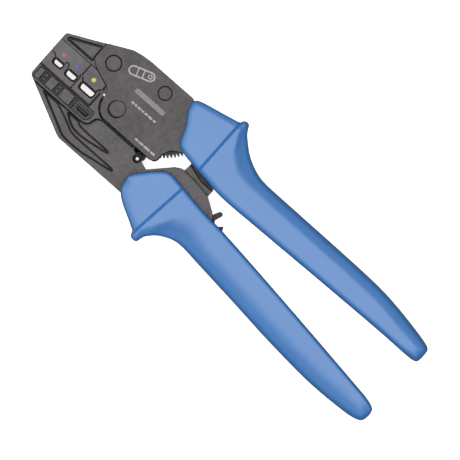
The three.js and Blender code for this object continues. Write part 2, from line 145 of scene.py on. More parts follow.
def rounded(points, radius, steps=5):
    """The outline with its corners rounded off."""
    smooth = []
    for i, corner in enumerate(points):
        corner = Vector(corner)
        back = Vector(points[i - 1]) - corner
        ahead = Vector(points[(i + 1) % len(points)]) - corner
        reach = min(radius, back.length * CORNER_SHARE, ahead.length * CORNER_SHARE)
        a, b = corner + back.normalized() * reach, corner + ahead.normalized() * reach
        for step in range(steps + 1):
            t = step / steps
            smooth.append(tuple(a * (1 - t) ** 2 + corner * 2 * t * (1 - t) + b * t**2))
    return smooth


def link(name, mesh):
    piece = bpy.data.objects.new(name, mesh)
    bpy.context.scene.collection.objects.link(piece)
    return piece


def offset(outline, distance):
    """The outline moved outwards by that distance, or inwards where it is negative."""
    corners = [Vector(corner) for corner in outline]
    area = sum(back.cross(corner) for back, corner in zip([corners[-1], *corners], corners))
    side = 1 if area > 0 else -1
    moved = []
    for i, corner in enumerate(corners):
        before = (corner - corners[i - 1]).normalized()
        after = (corners[(i + 1) % len(corners)] - corner).normalized()
        normals = Vector((before.y + after.y, -before.x - after.x)) * side
        moved.append(tuple(corner + normals * distance / max(1 + before.dot(after), MITRE_LIMIT)))
    return moved


def tapered(name, outline, levels, holes=()):
    """A solid whose section at each (z, inset) level is the outline drawn in by that inset."""
    bm = bmesh.new()
    ends = ([], [])
    for loop, inward in [(outline, -1), *((hole, 1) for hole in holes)]:
        rings = [[bm.verts.new((x, y, z)) for x, y in offset(loop, inward * inset)] for z, inset in levels]
        for lower, upper in zip(rings, rings[1:]):
            for i, vert in enumerate(lower):
                bm.faces.new((lower[i - 1], vert, upper[i], upper[i - 1]))
        for end, ring in zip(ends, (rings[0], rings[-1])):
            end += [bm.edges.get((ring[i - 1], vert)) for i, vert in enumerate(ring)]
    for end in ends:
        bmesh.ops.triangle_fill(bm, edges=end, use_beauty=True)
    bmesh.ops.dissolve_limit(bm, angle_limit=0.001, verts=bm.verts[:], edges=bm.edges[:])
    bmesh.ops.recalc_face_normals(bm, faces=bm.faces[:])
    mesh = bpy.data.meshes.new(name)
    bm.to_mesh(mesh)
    bm.free()
    return link(name, mesh)


def prism(name, outline, low, high, holes=()):
    return tapered(name, outline, [(low, 0), (high, 0)], holes)


def sink(piece, outline, side, surface, walls, holes=()):
    """Cuts into the piece's front (side 1) or back (side -1). Walls are (depth, inset) pairs."""
    levels = [(surface + OVERCUT, 0), (surface, 0), *((surface - depth, inset) for depth, inset in walls)]
    carve(piece, tapered("cut", outline, [(side * z, inset) for z, inset in levels], holes))


def pocket(piece, outline, surface, depth, draft, holes=()):
    """Sinks a pocket with sloping walls into both faces, surface above and below the middle."""
    walls = [(depth * BREAK_DEPTH, draft * BREAK_DRAFT), (depth, draft)]
    for side in (1, -1):
        sink(piece, outline, side, surface, walls, holes)


def strip(route, left, right):
    """The outline of a band along a route, reaching that far to its left and to its right."""
    sides = ([], [])
    for i, (x, y) in enumerate(route):
        ahead = Vector(route[min(i + 1, len(route) - 1)]) - Vector(route[max(i - 1, 0)])
        ahead.normalize()
        sides[0].append((x - ahead.y * left, y + ahead.x * left))
        sides[1].append((x + ahead.y * right, y - ahead.x * right))
    return sides[0] + sides[1][::-1]


def box_outline(left, right, low, high):
    return [(left, low), (right, low), (right, high), (left, high)]


def encloses(outline, x, y):
    """Whether a point lies within the outline."""
    within = False
    for (ax, ay), (bx, by) in zip(outline, outline[1:] + outline[:1]):
        if (ay > y) != (by > y) and x < ax + (y - ay) / (by - ay) * (bx - ax):
            within = not within
    return within


def paint_shade(piece, material, *grooves):
    """Gives the faces sunk within each (outline, surface) groove a darker material as painted shade."""
    piece.data.materials.append(material)
    for face in piece.data.polygons:
        x, y, z = (face.center - PIVOT) / MM
        if any(abs(z) < surface - SUNK and encloses(outline, x, y) for outline, surface in grooves):
            face.material_index = len(piece.data.materials) - 1


def bridge(piece, outline, *neighbours, half=BRIDGE):
    """Closes the slit between the piece and its neighbours halfway down, so that no light comes through."""
    filler = prism("filler", outline, -half, half)
    for neighbour in neighbours:
        carve(filler, cad_copy(neighbour, "neighbour"))
    carve(piece, filler, "UNION")


def lathe(name, profile, centre, steps=64):
    """A solid of revolution about the vertical line through centre. The profile is (radius, z) pairs."""
    bm = bmesh.new()
    rings = []
    for radius, z in profile:
        if radius == 0:
            rings.append([bm.verts.new((centre[0], centre[1], z))])
        else:
            rings.append([bm.verts.new((x, y, z)) for x, y in arc(centre, radius, 0, 360, steps)[:-1]])
    for lower, upper in zip(rings, rings[1:]):
        for i in range(steps):
            ring = [lower[i % len(lower)], lower[(i + 1) % len(lower)]]
            ring += [upper[(i + 1) % len(upper)], upper[i % len(upper)]]
            bm.faces.new(list(dict.fromkeys(ring)))
    bmesh.ops.recalc_face_normals(bm, faces=bm.faces[:])
    mesh = bpy.data.meshes.new(name)
    bm.to_mesh(mesh)
    bm.free()
    return link(name, mesh)


def cad_copy(node, name):
    """A copy of a CAD node in design millimetres, with its flat faces made whole again."""
    mesh = frame["nodes"][node].data.copy()
    bm = bmesh.new()
    bm.from_mesh(mesh)
    bmesh.ops.remove_doubles(bm, verts=bm.verts[:], dist=CAD_WELD)
    for vert in bm.verts:
        vert.co = (vert.co - PIVOT) / MM
    bmesh.ops.dissolve_limit(bm, angle_limit=FLAT_ANGLE, verts=bm.verts[:], edges=bm.edges[:])
    bmesh.ops.recalc_face_normals(bm, faces=bm.faces[:])
    bm.to_mesh(mesh)
    bm.free()
    mesh.materials.clear()
    return link(name, mesh)


def settle(piece):
    """Applies the piece's modifiers."""
    graph = bpy.context.evaluated_depsgraph_get()
    mesh = bpy.data.meshes.new_from_object(piece.evaluated_get(graph))
    piece.modifiers.clear()
    piece.data = mesh


def carve(piece, cutter, operation="DIFFERENCE"):
    """Cuts the cutter from the piece, or joins it with UNION, and removes the cutter."""
    modifier = piece.modifiers.new("carve", "BOOLEAN")
    modifier.operation = operation
    modifier.solver = "MANIFOLD"
    modifier.object = cutter
    settle(piece)
    bpy.data.objects.remove(cutter)


def soften(piece, width, segments=3):
    """Rounds the piece's edges and shades it smooth between them."""
    bm = bmesh.new()
    bm.from_mesh(piece.data)
    bmesh.ops.remove_doubles(bm, verts=bm.verts[:], dist=WELD)
    bmesh.ops.dissolve_degenerate(bm, edges=bm.edges[:], dist=WELD)
    for face in bm.faces:
        face.smooth = True
    bm.to_mesh(piece.data)
    bm.free()
    if width:
        bevel = piece.modifiers.new("bevel", "BEVEL")
        bevel.width = width
        bevel.segments = segments
        bevel.limit_method = "ANGLE"
        bevel.angle_limit = math.radians(BEVEL_ANGLE)
        bevel.use_clamp_overlap = True
        bevel.miter_outer = "MITER_ARC"
        settle(piece)
    bm = bmesh.new()
    bm.from_mesh(piece.data)
    for edge in bm.edges:
        edge.smooth = len(edge.link_faces) == 2 and edge.calc_face_angle(0) < math.radians(SMOOTH_ANGLE)
    bm.to_mesh(piece.data)
    bm.free()
    weighted = piece.modifiers.new("weighted", "WEIGHTED_NORMAL")
    weighted.keep_sharp = True
    settle(piece)


def dress(piece, material, slot, *nodes):
    """Moves the mesh into the row frame, with its material, and hides the CAD nodes it stands for."""
    for vert in piece.data.vertices:
        vert.co = row(*vert.co)
    piece.data.materials.clear()
    piece.data.materials.append(material)
    if nodes:
        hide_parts(*nodes)


def put(piece, body, material, slot, *nodes):
    """Dresses the piece and makes it ride on a body."""
    dress(piece, material, slot, *nodes)
    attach(piece, body)


# ---- Materials ----

NOISE_ROUGHNESS = 0.55
# The part of a noise's range that holds nearly all its values
NOISE_LOW, NOISE_HIGH = 0.3, 0.7


class Look:
    """A node material built around one Principled shader, with object coordinates in millimetres."""

    def __init__(self, name, metallic=0.0, roughness=0.5, **sockets):
        self.material = bpy.data.materials.new(name)
        self.material.use_nodes = True
        self.tree = self.material.node_tree
        self.shader = self.tree.nodes["Principled BSDF"]
        self.shader.inputs["Metallic"].default_value = metallic
        self.shader.inputs["Roughness"].default_value = roughness
        for socket, value in sockets.items():
            self.shader.inputs[socket.replace("_", " ")].default_value = value
        coordinates = self.node("ShaderNodeTexCoord")
        scale = self.node("ShaderNodeMapping")
        scale.inputs["Scale"].default_value = (1000, 1000, 1000)
        self.join(coordinates.outputs["Object"], scale.inputs["Vector"])
        self.place = scale.outputs["Vector"]

    def node(self, kind):
        return self.tree.nodes.new(kind)

    def join(self, output, socket):
        self.tree.links.new(output, socket)

    def noise(self, scale, detail=4, stretch=None):
        """Noise with that many features per millimetre."""
        place = self.place
        if stretch:
            squeeze = self.node("ShaderNodeMapping")
            squeeze.inputs["Scale"].default_value = stretch
            self.join(place, squeeze.inputs["Vector"])
            place = squeeze.outputs["Vector"]
        texture = self.node("ShaderNodeTexNoise")
        texture.inputs["Scale"].default_value = scale
        texture.inputs["Detail"].default_value = detail
        texture.inputs["Roughness"].default_value = NOISE_ROUGHNESS
        self.join(place, texture.inputs["Vector"])
        return texture.outputs["Fac"]

    def ramp(self, value, *stops):
        """Colours at positions along a value."""
        ramp = self.node("ShaderNodeValToRGB")
        elements = ramp.color_ramp.elements
        while len(elements) < len(stops):
            elements.new(0.5)
        for element, (position, colour) in zip(elements, stops):
            element.position = position
            element.color = (*colour, 1)
        self.join(value, ramp.inputs["Fac"])
        return ramp.outputs["Color"]

    def spread(self, value, low, high):
        """The middle of a noise stretched over a range of numbers."""
        spread = self.node("ShaderNodeMapRange")
        spread.inputs["From Min"].default_value = NOISE_LOW
        spread.inputs["From Max"].default_value = NOISE_HIGH
        spread.inputs["To Min"].default_value = low
        spread.inputs["To Max"].default_value = high
        self.join(value, spread.inputs["Value"])
        return spread.outputs["Result"]

    def multiply(self, first, second):
        mix = self.node("ShaderNodeMix")
        mix.data_type = "RGBA"
        mix.blend_type = "MULTIPLY"
        mix.inputs["Factor"].default_value = 1
        self.join(first, mix.inputs[6])
        self.join(second, mix.inputs[7])
        return mix.outputs[2]

    def colour(self, output):
        self.join(output, self.shader.inputs["Base Color"])

    def rough(self, output):
        self.join(output, self.shader.inputs["Roughness"])

    def bump(self, *layers):
        """Stacks (height, strength, distance in millimetres) layers of relief."""
        normal = None
        for height, strength, distance in layers:
            bump = self.node("ShaderNodeBump")
            bump.inputs["Strength"].default_value = strength
            bump.inputs["Distance"].default_value = distance * MM
            self.join(height, bump.inputs["Height"])
            if normal:
                self.join(normal, bump.inputs["Normal"])
            normal = bump.outputs["Normal"]
        self.join(normal, self.shader.inputs["Normal"])


def steel_look(name, dark, light, metallic=0.35, roughness=(0.36, 0.5)):
    """Burnished steel: cloudy oxide, fine grain and faint polishing streaks."""
    look = Look(name, metallic)
    clouds = look.noise(0.09, detail=5)
    specks = look.noise(2.2, detail=3)
    tint = look.ramp(clouds, (0.35, dark), (0.65, light))
    dust = look.ramp(specks, (0.3, (0.8, 0.8, 0.81)), (0.7, (1, 1, 1)))
    look.colour(look.multiply(tint, dust))
    look.rough(look.spread(look.noise(0.5, detail=4), *roughness))
    streaks = look.noise(1.5, detail=2, stretch=(6, 0.25, 1))
    look.bump((look.noise(5, detail=3), 0.25, 0.02), (streaks, 0.12, 0.02))
    return look.material


def grip_look():
    """Blue moulded plastic with a fine spark-eroded texture and slight flow clouding."""
    look = Look("grip_plastic", 0.0, 0.42, Specular_IOR_Level=0.8)
    clouds = look.noise(0.05, detail=3)
    look.colour(look.ramp(clouds, (0.3, (0.036, 0.166, 0.45)), (0.7, (0.042, 0.18, 0.475))))
    look.rough(look.spread(look.noise(1.6, detail=4), 0.38, 0.46))
    look.bump((look.noise(4.5, detail=2), 0.2, 0.02), (look.noise(0.35, detail=2), 0.1, 0.04))
    return look.material


def wire_look():
    """Bright drawn spring wire."""
    look = Look("spring_wire", 1.0)
    look.colour(look.ramp(look.noise(0.8), (0.3, (0.42, 0.42, 0.42)), (0.7, (0.62, 0.62, 0.6))))
    look.rough(look.spread(look.noise(6, detail=2), 0.2, 0.34))
    look.bump((look.noise(8, detail=2), 0.15, 0.01))
    return look.material


def paint_look(name, thin, full):
    """Paint laid in a drilled spot, thinner in places."""
    look = Look(name)
    look.colour(look.ramp(look.noise(1.2, detail=3), (0.35, thin), (0.6, full)))
    look.rough(look.spread(look.noise(2.5), 0.4, 0.6))
    look.bump((look.noise(3, detail=3), 0.3, 0.02))
    return look.material


def floor_look():
    """A white light table: its own glow leaves only a faint contact shadow."""
    look = Look("studio_floor", 0.0, 0.9, Emission_Strength=0.82)
    white = look.ramp(look.noise(0.01), (0.3, (0.97, 0.97, 0.97)), (0.7, (1, 1, 1)))
    look.colour(white)
    look.join(white, look.shader.inputs["Emission Color"])
    return look.material


STEEL = steel_look("dark_steel", (0.0495, 0.0435, 0.0455), (0.0655, 0.0595, 0.0615))
PLATE_STEEL = steel_look("plate_steel", (0.041, 0.035, 0.0357), (0.0547, 0.0487, 0.0494))
DIE_STEEL = steel_look("die_steel", (0.049, 0.041, 0.0485), (0.068, 0.06, 0.067), roughness=(0.3, 0.42))
# Darker copies of the steel that hold painted shade: in the panel's recess, in the sunk rings, bands and
# slot, and black in grooves, chamfers, slits, flares, the tray and the link's low side. Black steel is also
# the own colour of the spacer, lever core, ratchet sector and pawl.
RECESS_SHADE_STEEL = steel_look("recess_shade_steel", (0.0215, 0.0175, 0.0188), (0.035, 0.031, 0.0323))
SHADED_STEEL = steel_look("shaded_steel", (0.022, 0.0205, 0.021), (0.031, 0.029, 0.0295), 0.7, (0.42, 0.55))
BLACK_STEEL_AND_SHADE = steel_look("black_steel", (0.01, 0.01, 0.011), (0.02, 0.02, 0.021), 0.5, (0.4, 0.55))
PIN_STEEL = steel_look("pin_steel", (0.048, 0.036, 0.035), (0.064, 0.052, 0.051), roughness=(0.34, 0.46))
PRINT = paint_look("pale_print", (0.28, 0.265, 0.26), (0.42, 0.4, 0.39))
FAINT_PRINT = paint_look("faint_print", (0.17, 0.155, 0.155), (0.23, 0.21, 0.21))
GRIP = grip_look()
WIRE = wire_look()
SPRING_STEEL = steel_look("spring_wire_dark", (0.03, 0.03, 0.032), (0.05, 0.05, 0.052), 0.9, (0.25, 0.38))
DOTS = {
    "red": paint_look("red_paint", (0.24, 0.1, 0.11), (0.4, 0.1, 0.11)),
    "blue": paint_look("blue_paint", (0.08, 0.1, 0.26), (0.06, 0.09, 0.35)),
    "yellow": paint_look("yellow_paint", (0.42, 0.4, 0.1), (0.66, 0.62, 0.13)),
}


# ---- Grips ----

# Each side of a grip's outline runs from its crest beside the jaw to its far end.
# The outer side is three curves, with the ear beside the crease as the middle one.
MOVING_OUTER = [
    [(-21.3, -23.8), (-26.3, -25.1), (-30.5, -29.8), (-34.3, -36.8), (-37, -41.6)],
    [(-37, -41.6), (-39.2, -42.6), (-39.95, -44.6), (-39.5, -46.1), (-38, -46.7)],
    [
        (-38, -46.7), (-36.2, -47.1), (-34.6, -48.1), (-31.2, -51.6), (-28.4, -57.2), (-27.6, -63),
        (-28.7, -74), (-31.4, -100), (-33.6, -120), (-35.3, -142), (-35.5, -155), (-34.9, -168),
        (-34.2, -173), (-33.1, -176), (-31.4, -177.3), (-28.4, -177.7),
    ],
]
MOVING_INNER = [
    [
        (-21.3, -23.8), (-18, -24.4), (-12, -29.3), (-9, -32.4), (-6.7, -35.4), (-6.1, -39),
        (-7.2, -47), (-9.2, -61), (-10.3, -74), (-13.5, -100), (-17.5, -130), (-21.7, -160),
        (-23.4, -171.5), (-24.9, -176), (-26.2, -177.3), (-28.4, -177.7),
    ],
]
FIXED_OUTER = [
    [(23.9, -23.35), (25.3, -23.5), (26.8, -24.8), (28, -28), (30, -37), (31.6, -43.8), (32.3, -46)],
    [(32.3, -46), (33.6, -46.4), (34.45, -48), (34.1, -49.4), (33.2, -50.1)],
    [
        (33.2, -50.1), (31.2, -51.1), (29.1, -52.9), (24, -58.9), (20.5, -65.8), (19, -73),
        (18.8, -90), (18.6, -125), (18.1, -143), (16.8, -155), (15.1, -165), (13.9, -171),
        (13, -174.8), (12.2, -177), (10.8, -178.2), (8, -178.4),
    ],
]
FIXED_INNER = [
    [
        (23.9, -23.35), (20.6, -24.3), (16, -27.3), (11.5, -29.6), (7.6, -31), (5.4, -33.4), (4, -39),
        (2.5, -50), (1.1, -62), (1.3, -80), (2.3, -120), (3, -155), (3, -172), (3.4, -176.4),
        (4.7, -178.1), (8, -178.4),
    ],
]
MOVING_CAVITY = [
    (8, -18), (-45, -18), (-45, -41.2), (-33.6, -41.2), (-27.6, -54), (-25.2, -60), (-25, -70),
    (-27.5, -111), (-21.5, -117), (-17.2, -111), (-12.4, -67.6), (8, -67.6),
]
MOVING_SLOT = [(-14, -64), (8, -64), (8, -76), (-13.2, -76)]
FIXED_CAVITY = [
    (-12, -18), (30, -18), (30, -26), (24.8, -26.3), (25.4, -42), (26, -49.2), (20.3, -60.3), (15.4, -75),
    (14.8, -114.5), (13.2, -118.6), (8.8, -118.6), (6, -114.5), (6, -75), (4.2, -64), (-12, -64),
]
MOVING_CREASE = ((-36.4, -42.6), (-7, -46.1))
FIXED_CREASE = ((32.4, -46.1), (3.4, -46.1))

CREASE_DEPTH = 0.75
CREASE_WIDTH = 0.38
# The crease fades out over this length, and the rows stay close together this far to each side of it.
CREASE_FADE = 1.5
# Rows: closest and widest step, growth with the distance from an end or the crease, trim at the ends
ROW_STEP, ROW_WIDEST, ROW_GROWTH, ROW_TRIM = 0.14, 1.5, 0.16, 0.01
COLUMNS = 46

# At each y: how wide the edge's sloping band is, how steep in degrees, the rounding at the very edge, the
# half height at which the rounding meets the side wall, and how softly the flat folds into the band.
OUTER_BAND = [
    (-24, 2.2, 22, 2.0, 7.0, 0.3), (-44, 2.4, 24, 2.0, 6.6, 0.3), (-48, 3.4, 24, 2.2, 5.6, 0.4),
    (-53, 6.8, 24, 3.6, 4.4, 0.6), (-60, 7.6, 25, 5.0, 3.2, 0.8), (-72, 5.6, 26, 4.6, 2.8, 0.7),
    (-160, 5.3, 26, 4.4, 2.6, 0.7), (-178, 4.2, 25, 3.8, 2.2, 0.5),
]
INNER_BAND = [
    (-24, 2.2, 22, 2.0, 7.0, 0.3), (-46, 2.2, 20, 2.0, 7.0, 0.3), (-80, 2.2, 22, 2.0, 6.2, 0.3),
    (-170, 2.1, 22, 2.0, 5.2, 0.3), (-178, 4.2, 25, 3.8, 2.2, 0.5),
]
# How wide the outer and inner bands are against these tables, and how much softer the outer fold is
MOVING_CROWN = (1.2, 0.65, 2.6)
FIXED_CROWN = (1.0, 1.0, 1.0)
# The fold between band and rounding, the rise that keeps the rounding to the edge, and the seam's depth
RIM_FOLD = 0.35
RIM_RISE = 3.0
SEAM = 0.25


def band_at(y, band):
    """(width, slope, rounding, wall, fold) of a sloping band at that y."""
    ys, *columns = zip(*band)
    return [np.interp(-y, np.negative(ys), column) for column in columns]


def grip_rows(top, bottom, crease):
    """Heights of the cross-sections, closest together at the ends and round the crease."""
    rows = [top - ROW_TRIM]
    low, high = min(y for _, y in crease) - CREASE_FADE, max(y for _, y in crease) + CREASE_FADE
    while rows[-1] > bottom + 5 * ROW_TRIM:
        y = rows[-1]
        away = min(top - y, y - bottom, max(0, y - high, low - y))
        rows.append(y - min(ROW_WIDEST, ROW_STEP + ROW_GROWTH * away))
    rows[-1] = bottom + ROW_TRIM
    return np.array(rows)


def soft_least(a, b, fold):
    """The smaller of two heights, with the corner between them eased over a fold."""
    h = np.clip(0.5 + 0.5 * (b - a) / fold, 0, 1)
    return b + (a - b) * h - fold * h * (1 - h)


def edge_distance(xs, ys, side):
    """How far each point is from one side of the outline."""
    nearest = np.full(xs.shape, np.inf)
    for (ax, ay), (bx, by) in zip(side, side[1:]):
        span = (bx - ax) ** 2 + (by - ay) ** 2
        part = np.clip(((xs - ax) * (bx - ax) + (ys - ay) * (by - ay)) / max(span, 1e-12), 0, 1)
        nearest = np.minimum(nearest, np.hypot(xs - ax - part * (bx - ax), ys - ay - part * (by - ay)))
    return nearest


def grip_heights(xs, ys, outer, inner, crease, crown):
    """Half thickness of the grip at each point: flat on top, sloping, then rounding off to its outline."""
    best = np.full(xs.shape, HALF_GRIP)
    outer_share, inner_share, ease = crown
    for side, band, share, soft in (
        (outer, OUTER_BAND, outer_share, ease),
        (inner, INNER_BAND, inner_share, 1),
    ):
        edge = edge_distance(xs, ys, side)
        width, slope, rounding, wall, fold = band_at(ys, band)
        width, rounding = width * share, rounding * min(share, 1)
        plane = HALF_GRIP - (width - edge) * np.tan(np.radians(slope))
        crest = HALF_GRIP - (width - rounding) * np.tan(np.radians(slope))
        rim = wall + (crest - wall) * np.sqrt(1 - (1 - np.minimum(edge / rounding, 1)) ** 2)
        rim += np.maximum(edge - rounding, 0) * RIM_RISE
        best = soft_least(best, soft_least(plane, rim, RIM_FOLD), fold * soft)
    (ax, ay), (bx, by) = crease
    length = math.hypot(bx - ax, by - ay)
    across = ((xs - ax) * (by - ay) - (ys - ay) * (bx - ax)) / length * (1 if bx < ax else -1)
    along = ((xs - ax) * (bx - ax) + (ys - ay) * (by - ay)) / length
    within = np.clip(np.minimum(along, length - along) / CREASE_FADE + 1, 0, 1)
    return best - within * np.exp(-((across / CREASE_WIDTH) ** 2)) * CREASE_DEPTH


def seam_wall(edge, neighbour):
    """The (x, z) points of the side wall below an edge, with the moulding seam sunk towards a neighbour."""
    step = neighbour.x - edge.x
    inward = math.copysign(min(SEAM, abs(step) / 4), step)
    lip = min(SEAM, edge.z / 2)
    return [(edge.x, lip), (edge.x + inward / 2, 0), (edge.x, -lip)]


def grip_piece(name, outer, inner, crease, crown, cavity, half_cavity, slot=None):
    """A hollow grip: a front and a back sheet of rows and columns, joined along the seam at both sides."""
    outer = [p for part in outer for p in catmull(part)]
    inner = [p for part in inner for p in catmull(part)]
    ys = grip_rows(outer[0][1], outer[-1][1], crease)
    edges = []
    for side in (outer, inner):
        sx, sy = np.array(side).T
        order = np.argsort(sy, kind="stable")
        edges.append(np.interp(ys, sy[order], sx[order]))
    across = (1 - np.cos(np.linspace(0, math.pi, COLUMNS + 1))) / 2
    grid_x = edges[0][:, None] + (edges[1] - edges[0])[:, None] * across[None, :]
    grid_y = np.repeat(ys[:, None], COLUMNS + 1, axis=1)
    heights = grip_heights(grid_x, grid_y, outer, inner, crease, crown)
    bm = bmesh.new()
    front, back = (
        [[bm.verts.new((x, y, sign * z)) for x, y, z in zip(*row)] for row in zip(grid_x, grid_y, heights)]
        for sign in (1, -1)
    )
    walls = []
    for column, other in ((0, -1), (COLUMNS, 0)):
        wall = []
        for face, rear in zip(front, back):
            top, low = face[column], rear[column]
            points = seam_wall(top.co, face[other].co)
            wall.append([top, *(bm.verts.new((x, top.co.y, z)) for x, z in points), low])
        walls.append(wall)
    for sheet in (front, back, *walls):
        for upper, lower in zip(sheet, sheet[1:]):
            for i in range(len(upper) - 1):
                bm.faces.new((upper[i], upper[i + 1], lower[i + 1], lower[i]))
    for end in (0, -1):
        left, right = (wall[end][1:-1] for wall in walls)
        bm.faces.new(front[end] + right + back[end][::-1] + left[::-1])
    bmesh.ops.recalc_face_normals(bm, faces=bm.faces[:])
    mesh = bpy.data.meshes.new(name)
    bm.to_mesh(mesh)
    bm.free()
    piece = link(name, mesh)
    carve(piece, prism("cavity", cavity, -half_cavity, half_cavity))
    if slot:
        carve(piece, prism("slot", slot, -HALF_CORE - GAP, HALF_CORE + GAP))
    soften(piece, 0)
    return piece


moving_grip = grip_piece(
    "moving_handle_grip",
    MOVING_OUTER,
    MOVING_INNER,
    MOVING_CREASE,
    MOVING_CROWN,
    MOVING_CAVITY,
    LEVER_OUTSIDE + GAP,
    MOVING_SLOT,
)
put(moving_grip, "lever", GRIP, "grip_plastic", "moving_grip")
fixed_grip = grip_piece(
    "fixed_handle_grip",
    FIXED_OUTER,
    FIXED_INNER,
    FIXED_CREASE,
    FIXED_CROWN,
    FIXED_CAVITY,
    PLATE_OUTSIDE + GAP,
)
put(fixed_grip, "frame", GRIP, "grip_plastic", "fixed_grip")


# ---- Steel pieces: the CAD shapes with rounded edges and cast or cut detail ----


def cad_piece(node, width):
    """A copy of a CAD node with its edges rounded."""
    piece = cad_copy(node, f"{node}_fine")
    soften(piece, width)
    return piece


for node, body, material, slot, width in (
    ("tang_spacer", "frame", BLACK_STEEL_AND_SHADE, "black_steel", 0.2),
    ("lever_core", "lever", BLACK_STEEL_AND_SHADE, "black_steel", 0.4),
    ("ratchet_sector", "sector", BLACK_STEEL_AND_SHADE, "black_steel", 0.12),
    ("ratchet_pawl", "pawl", BLACK_STEEL_AND_SHADE, "black_steel", 0.15),
    ("pawl_spring", "frame", WIRE, "spring_steel", 0.1),
):
    put(cad_piece(node, width), body, material, slot, node)


# Recesses round the pins, as (centre, radius, steps, walls). The main pin's lies off the pin's own centre.
COUNTERSINK = [(0.35, 0.35)]
RECESSES = [
    ((-0.5, 0.2), 4.15, 56, [(0.5, 0.3), (0.7, 0.6)]),
    (HEAD_RIVET, 3.95, 48, COUNTERSINK),
    (SECTOR_PIVOT, 3.45, 48, COUNTERSINK),
]
# The plate's edge beside the moving jaw. Its chamfer reaches (left, right) of the edge, with its walls, and
# is painted black as shade.
PLATE_EDGE = [
    *arc((0, 0), 8.2, 96, 160, 16),
    (-7.8, 2.0), (-7.8, -25.4), (-7.45, -27.2), (-6.9, -28.1), (-5.5, -29), (-1.5, -29.1),
]
PLATE_CHAMFER = (0.4, 0.8)
PLATE_CHAMFER_WALLS = [(0.8, 0.4)]


def side_plate(node, side):
    """A side plate with a chamfered edge beside the jaw painted black as shade, and recesses round its pins
    painted with shade.
    """
    piece = cad_piece(node, 0.4)
    rings = []
    for centre, radius, steps, walls in RECESSES:
        rings.append(arc(centre, radius, 0, 360, steps)[:-1])
        sink(piece, rings[-1], side, PLATE_OUTSIDE, walls)
    edge = strip(PLATE_EDGE, *PLATE_CHAMFER)
    sink(piece, edge, side, PLATE_OUTSIDE, PLATE_CHAMFER_WALLS)
    soften(piece, 0)
    put(piece, "frame", PLATE_STEEL, "steel", node)
    paint_shade(piece, BLACK_STEEL_AND_SHADE, (edge, PLATE_OUTSIDE))
    paint_shade(piece, SHADED_STEEL, *((ring, PLATE_OUTSIDE) for ring in rings))


side_plate("front_side_plate", 1)
side_plate("rear_side_plate", -1)

# The lever plate's edge beside the toggle link, with the reach and the walls of its chamfer, which is
# painted black as shade
LEVER_EDGE = [
    (-4.5, -35.1), (-2.5, -37.0), (-1.0, -39.8), (-0.85, -42.0), (-1.2, -48.0), (-1.8, -53.0),
    (-2.5, -56.8),
]
LEVER_CHAMFER = (0.8, 0.35)
LEVER_CHAMFER_WALLS = [(0.8, 0.3)]


def lever_plate(node, side):
    """A side plate of the lever, with a chamfer along its edge beside the toggle link, painted black as
    shade.
    """
    piece = cad_piece(node, 0.3)
    edge = strip(LEVER_EDGE, *LEVER_CHAMFER)
    sink(piece, edge, side, LEVER_OUTSIDE, LEVER_CHAMFER_WALLS)
    soften(piece, 0)
    put(piece, "lever", STEEL, "steel", node)
    paint_shade(piece, BLACK_STEEL_AND_SHADE, (edge, LEVER_OUTSIDE))


lever_plate("lever_front_plate", 1)
lever_plate("lever_rear_plate", -1)

# The fixed jaw's pocket is a triangle between the die, the plate's top edge and the slanted outer edge.
# A groove runs round its floor, painted black as shade. Grooves and pockets are (depth, draft).
HEAD_POCKET = [(8.3, 38.3), (10.1, 38.3), (17.0, 23.9), (16.8, 22.6), (8.3, 22.6)]
HEAD_FLOOR = [(9.5, 36.8), (9.5, 23.8), (15.7, 23.8)]
HEAD_POCKET_WALL = (0.4, 0.1)
HEAD_GROOVE_INSET = 0.1
HEAD_GROOVE_WALL = (1.0, 0.4)
HEAD_CORNER, FLOOR_CORNER = 0.8, 0.6
# The slit between the fixed jaw and its dies, whose filler is painted black as shade, and the pad between
# the two jaws' heels
FIXED_SEAT = [
    (7.9, TOP), (7.0, TOP), (7.0, 18.5), (4.9, 12.4), (4.2, 11.1), (1.35, 11.1), (1.35, 9.9),
    (5.2, 9.9), (6.2, 12.4), (7.9, 18.0),
]
STOP_PAD = (-0.2, 1.7, 9.6, 11.3)
STOP_PAD_HALF = 5.6
SEAT_SHADE = BRIDGE + 0.1


def fixed_jaw():
    """The fixed jaw: a triangular pocket with a groove round its floor, and a pad at the jaws' heels. The
    groove and the slit's filler are painted black as shade.
    """
    piece = cad_piece("fixed_jaw", 0.35)
    rim = rounded(HEAD_POCKET, HEAD_CORNER)
    floor_height = PLATE_OUTSIDE - HEAD_POCKET_WALL[0]
    pocket(piece, rim, PLATE_OUTSIDE, *HEAD_POCKET_WALL)
    groove = rounded(offset(HEAD_POCKET, -HEAD_GROOVE_INSET), HEAD_CORNER)
    pocket(piece, groove, floor_height, *HEAD_GROOVE_WALL, holes=[rounded(HEAD_FLOOR, FLOOR_CORNER)])
    bridge(piece, FIXED_SEAT, "fixed_die_small", "fixed_die_large")
    heels = ("fixed_die_large", "moving_die_large", "moving_jaw")
    bridge(piece, box_outline(*STOP_PAD), *heels, half=STOP_PAD_HALF)
    soften(piece, 0)
    put(piece, "frame", STEEL, "steel", "fixed_jaw")
    paint_shade(piece, BLACK_STEEL_AND_SHADE, (rim, floor_height), (FIXED_SEAT, SEAT_SHADE))


